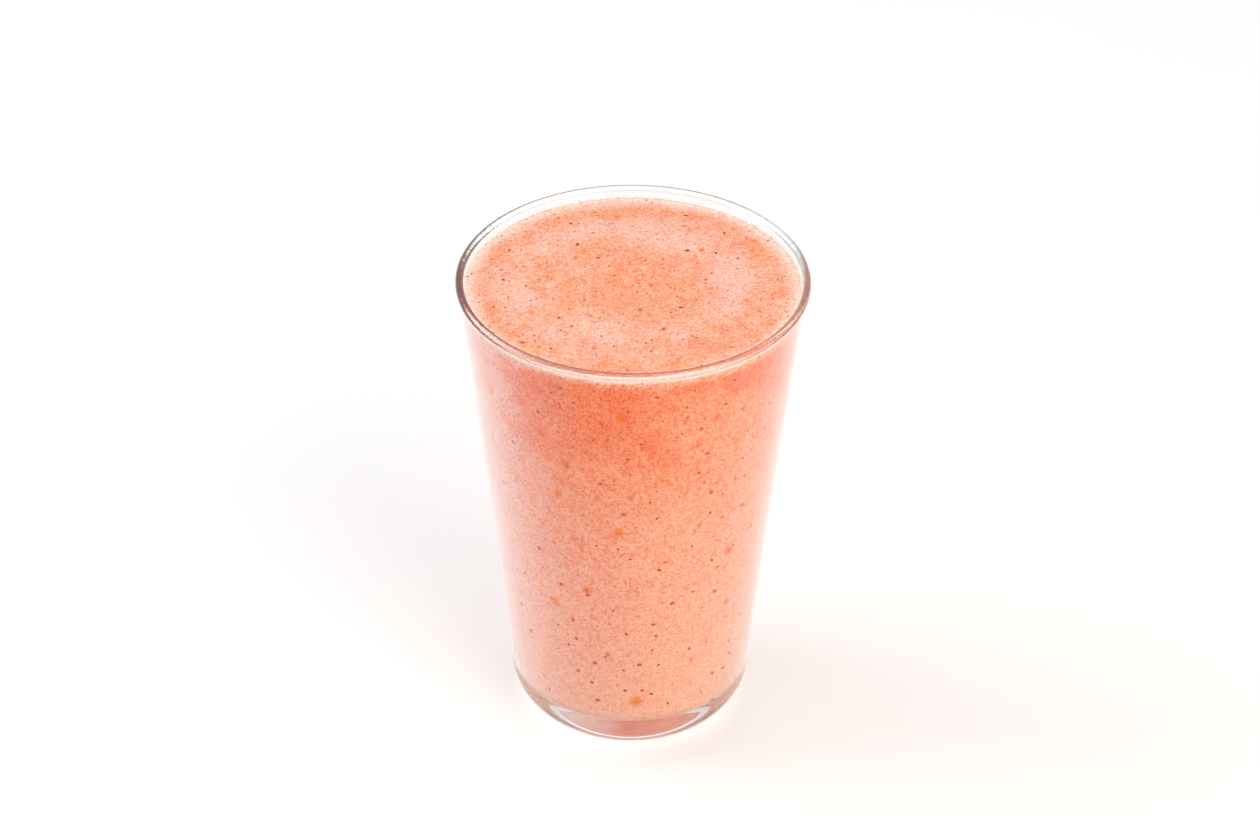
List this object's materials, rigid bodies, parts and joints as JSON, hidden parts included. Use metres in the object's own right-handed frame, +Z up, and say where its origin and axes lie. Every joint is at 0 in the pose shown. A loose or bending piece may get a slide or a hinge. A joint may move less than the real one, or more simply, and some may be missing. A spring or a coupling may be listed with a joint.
{
  "type": "peach smoothie",
  "caption": "Peach smoothie in a plain clear tumbler with a tapered wall, rounded heel and thick base, filled to just under the rim.",
  "frame": {"origin": "centre of the foot, on the surface the glass stands on", "axes": "+Z up along the glass's axis; +Y away from the viewer, +X to the viewer's right"},
  "size_m": [0.085, 0.085, 0.126],
  "materials": {
    "clear_glass": "clear pressed glass, fire-polished lip",
    "smoothie": null
  },
  "bodies": {
    "root": {"glass": "clear_glass", "smoothie": "smoothie"}
  },
  "joints": []
}
